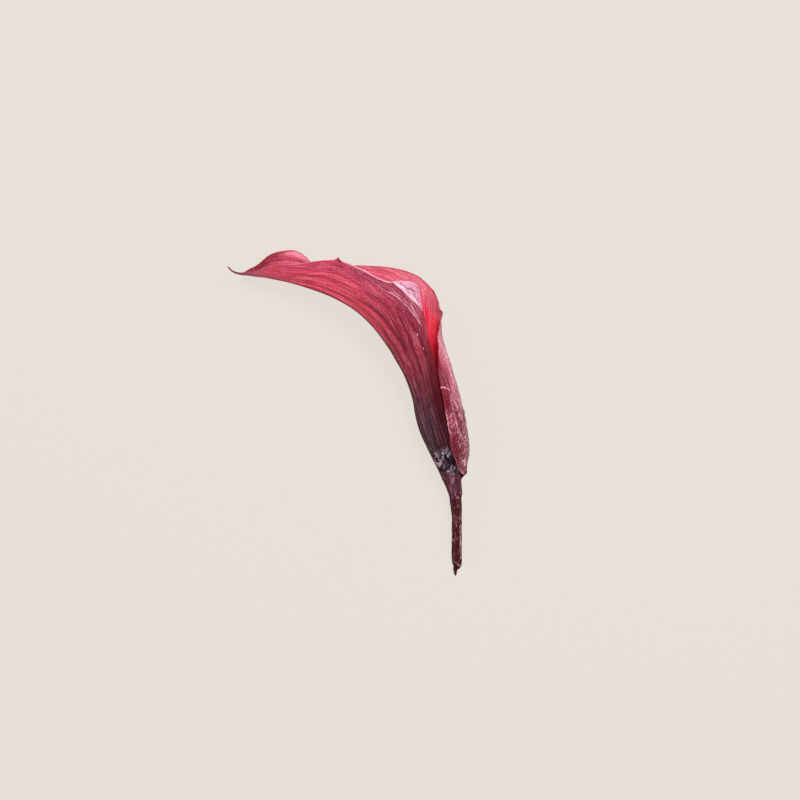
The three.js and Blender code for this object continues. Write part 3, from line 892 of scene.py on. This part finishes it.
stem_shares = np.concatenate([[0], np.cumsum(stem_gaps)]) / stem_gaps.sum()
stem_radii = stem_line[:, 3:].copy()
stem_radii[[0, -1]] = 0


def stem_relief(share, angle):
    """Millimetres proud: a groove on top between two ridges, then shallower furrows and fibres all round."""
    body = ease(share, 0.17, 0.2) * (1 - ease(share, 0.9, 0.97))
    turned = np.degrees(angle) % 360
    wander = 8 * np.sin(share * 9) + 6 * rough(share * 5, seed=43)
    groove = -0.26 * hill(turned, 96 + wander, 10) - 0.25 * hill(turned, 145 + wander, 9)
    ridges = 0.3 * hill(turned, 54 + wander, 9) + 0.12 * hill(turned, 118 + wander, 12)
    furrows = rough(np.cos(angle) * 1.5, np.sin(angle) * 1.5, share * 1.6, seed=41)
    fine = rough(np.cos(angle) * 7, np.sin(angle) * 7, share * 14, seed=42)
    shoulder = hill(share, 0.2, 0.03) * rough(np.cos(angle) * 3, np.sin(angle) * 3, share * 30, seed=44)
    return body * (groove + ridges + 0.22 * furrows + 0.14 * fine) + 0.25 * shoulder


stem_surface, stem_length = closed_spike(stem_line[:, :3], stem_shares, stem_radii, stem_relief)
stem_mesh, stem_along, stem_across = sheet(
    "stem_stub", stem_surface, along_steps=360, across_steps=96, length=stem_length
)
mark(stem_mesh, "relief", stem_relief(stem_along / stem_length, -stem_across * math.pi))

# A painted highlight along one ridge, and the torn end: a pale lip that slants across, with a dark hollow
# below it.
# Places down the stem are in millimetres below the middle of the frame.
stem_turned = -stem_across * 180
stem_down = -np.array([vertex.co.y for vertex in stem_mesh.vertices]) / mm
ridge_highlight_turn = 45 + 5 * np.sin(stem_along / 3)
ridge_highlight = hill(stem_turned, ridge_highlight_turn, 5) * ease(stem_along, 11, 17) * (stem_down < 51)
lip_down = 53.6 - 0.026 * np.abs(stem_turned - 66)
lip = hill(stem_down, lip_down, 0.22) * hill(stem_turned, 80, 75)
mark(stem_mesh, "pale_edge_and_highlight", np.maximum(ridge_highlight, lip))
mark(stem_mesh, "hollow", hill(stem_down, lip_down + 0.8, 0.45))
close_up(stem_mesh)
stem = bpy.data.objects.new("stem_stalk", stem_mesh)
bpy.context.scene.collection.objects.link(stem)


def stalk_finish(name):
    """Dried stalk: dark maroon furrows, paler rubbed ridges, a painted highlight along one, fine lengthwise
    fibres.
    """
    material, start = new_material(name)
    place = start.node("ShaderNodeTexCoord", output=3)
    relief = start.node("ShaderNodeAttribute", {"attribute_name": "relief"}, output=2)
    pale_edge_and_highlight = start.node("ShaderNodeAttribute", {"attribute_name": "pale_edge_and_highlight"}, output=2)
    hollow = start.node("ShaderNodeAttribute", {"attribute_name": "hollow"}, output=2)
    stretched = start.node("ShaderNodeMapping", inputs={"Vector": place, "Scale": (2400, 260, 2400)})
    fibres = start.node("ShaderNodeTexNoise", inputs={"Vector": stretched, "Scale": 1, "Detail": 3})
    grain = start.node("ShaderNodeTexNoise", inputs={"Vector": place, "Scale": 2400, "Detail": 3})
    patches = start.node("ShaderNodeTexNoise", inputs={"Vector": place, "Scale": 420, "Detail": 3})
    drawn = start.node("ShaderNodeMapping", inputs={"Vector": place, "Scale": (2600, 800, 2600)})
    flecks = start.node("ShaderNodeTexNoise", inputs={"Vector": drawn, "Scale": 1, "Detail": 2})
    colour = relief.between(-0.3, 0.05).tint(seen(28, 2, 12), seen(74, 8, 26))
    rubbed = patches.between(0.46, 0.64)
    colour = (relief.between(0.1, 0.36) * (0.05 + rubbed * 0.5)).tint(colour, seen(164, 100, 116))
    colour = (fibres.between(0.5, 0.62) * (0.05 + rubbed * 0.35)).tint(colour, seen(146, 80, 96))
    colour = ((1 - fibres.between(0.36, 0.48)) * 0.5).tint(colour, seen(26, 2, 10))
    colour = (flecks.between(0.56, 0.66) * (0.1 + rubbed * 0.5)).tint(colour, seen(206, 160, 170))
    # Painted highlight along the ridge, and the pale torn lip.
    colour = (pale_edge_and_highlight * (0.1 + flecks.between(0.42, 0.56) * 0.75)).tint(colour, seen(236, 186, 192))
    colour = (hollow * 0.8).tint(colour, seen(26, 4, 10))
    height = fibres * 0.6 + grain * 0.4
    bump = start.node("ShaderNodeBump", inputs={"Strength": 1.0, "Distance": 0.3 * mm, "Height": height})
    surface = start.node("ShaderNodeBsdfPrincipled", inputs={
        "Base Color": colour,
        "Roughness": 0.4 + grain * 0.3,
        "Normal": bump,
        "Specular IOR Level": 0.2,
    })
    start.node("ShaderNodeOutputMaterial", inputs={"Surface": surface})
    return material


stem.data.materials.append(stalk_finish("dried stalk"))
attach(stem, "root")
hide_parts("stem")

# Surface, light and camera
# A warm white table that glows a little, as on a light table, under soft studio light from the upper
# right. The camera looks straight down.
table_half = 4
floor_bm = bmesh.new()
bmesh.ops.create_grid(floor_bm, x_segments=1, y_segments=1, size=table_half)
floor_mesh = bpy.data.meshes.new("table_top")
floor_bm.to_mesh(floor_mesh)
floor_bm.free()
floor = bpy.data.objects.new("table_top", floor_mesh)
bpy.context.scene.collection.objects.link(floor)
floor_material, start = new_material("warm white table")
surface = start.node("ShaderNodeBsdfPrincipled", inputs={
    "Base Color": seen(62, 60, 57),
    "Roughness": 0.9,
    "Specular IOR Level": 0.1,
    "Emission Color": seen(233, 226, 218),
    "Emission Strength": 0.91,
})
start.node("ShaderNodeOutputMaterial", inputs={"Surface": surface})
floor.data.materials.append(floor_material)

light_aim = Vector((0.01, 0.01, 0.01))


def soft_light(name, place, size, power):
    """A square studio light aimed at the flower's middle."""
    light = bpy.data.lights.new(name, "AREA")
    light.size = size
    light.energy = power
    lamp = bpy.data.objects.new(name, light)
    lamp.location = place
    lamp.rotation_euler = (light_aim - Vector(place)).to_track_quat("-Z", "Y").to_euler()
    bpy.context.scene.collection.objects.link(lamp)


soft_light("key_light", (0.22, 0.36, 0.88), size=0.32, power=10)
soft_light("fill_light", (-0.7, 0.0, 0.7), size=0.9, power=2)

world = bpy.data.worlds.new("soft_room")
world.use_nodes = True
world.node_tree.nodes["Background"].inputs["Color"].default_value = (1, 0.985, 0.96, 1)
world.node_tree.nodes["Background"].inputs["Strength"].default_value = 0.22
bpy.context.scene.world = world
bpy.context.scene.view_settings.view_transform = "Standard"

camera_height = 1.2
field_width = 0.28
view_x, view_y, flower_middle = 18.0 * mm, 4.9 * mm, 12 * mm
camera_data = bpy.data.cameras.new("camera")
camera_data.lens = camera_data.sensor_width * camera_height / field_width
camera = bpy.data.objects.new("camera", camera_data)
camera.location = (view_x, view_y, flower_middle + camera_height)
bpy.context.scene.collection.objects.link(camera)
bpy.context.scene.camera = camera
